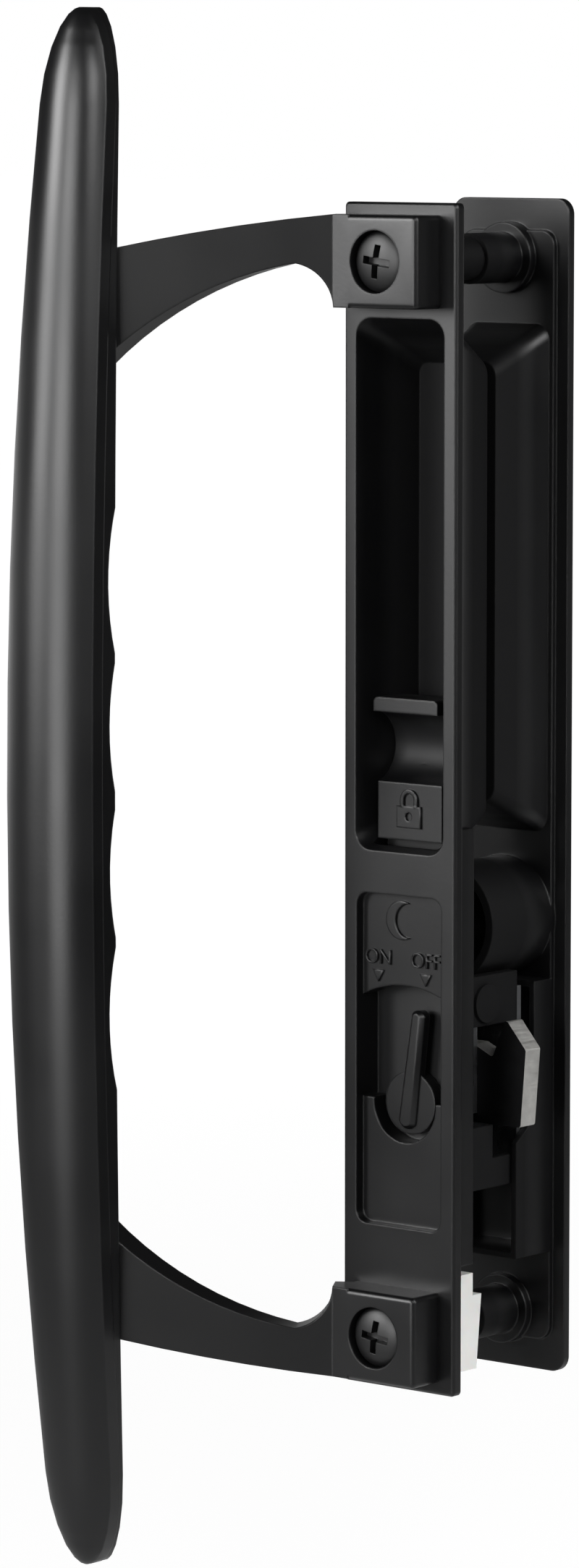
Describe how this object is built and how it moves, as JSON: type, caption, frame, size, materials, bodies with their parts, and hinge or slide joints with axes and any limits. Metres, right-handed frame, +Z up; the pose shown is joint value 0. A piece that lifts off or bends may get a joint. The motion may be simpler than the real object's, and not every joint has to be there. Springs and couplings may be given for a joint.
{
  "type": "sliding patio door handle set",
  "caption": "Handle set for a sliding patio door: bowed pull bar on an inside plate with thumb-slide hook latch and night lock, and an outside plate with a flush finger cup.",
  "frame": {"origin": "midway between the two fixing screws, on the face of the inside plate that lies on the door stile", "axes": "+X to the lock edge of the door, the way the hook points; +Y into the door, from the inside plate to the outside plate; +Z up"},
  "size_m": [0.0662, 0.0673, 0.2466],
  "materials": {
    "black_casting": "zinc die casting, satin black powder coat",
    "black_screw": "steel, black lacquer",
    "stamped_steel": "stamped from steel plate, bright sheared edges",
    "zinc_plated_steel": "steel, zinc plated",
    "spring_steel": "spring steel, drawn and oiled",
    "white_nylon": "moulded white nylon"
  },
  "bodies": {
    "plates": {"case_cover": "stamped_steel", "guide_stud": "black_screw", "inside_plate": "black_casting", "latch_spring": "spring_steel", "lower_cover_screw": "zinc_plated_steel", "lower_fixing_screw": "black_screw", "lower_spacer": "white_nylon", "night_lock_leaf": "spring_steel", "outside_plate": "black_casting", "pull_handle": "black_casting", "spring_guide": "zinc_plated_steel", "upper_cover_screw": "zinc_plated_steel", "upper_fixing_screw": "black_screw"},
    "latch": {"thumb_slide": "black_casting", "slide_carrier": "zinc_plated_steel", "upper_slide_rivet": "zinc_plated_steel", "lower_slide_rivet": "zinc_plated_steel", "hook": "stamped_steel", "upper_hook_rivet": "zinc_plated_steel", "lower_hook_rivet": "zinc_plated_steel"},
    "night_lock": {"night_lock_lever": "black_casting", "night_lock_cam": "zinc_plated_steel", "lever_clip": "spring_steel"}
  },
  "joints": [
    {"name": "latch_slide", "type": "slide", "parent": "plates", "child": "latch", "axis": [0, 0, 1], "range_m": [-0.005, 0], "stiffness_N_per_m": 300, "springref_m": 0.008, "deforming": ["latch_spring"]},
    {"name": "night_lock_turn", "type": "hinge", "parent": "plates", "child": "night_lock", "pos_m": [0, 0, -0.048], "axis": [0, -1, 0], "range_deg": [-6.5, 21.5]}
  ]
}
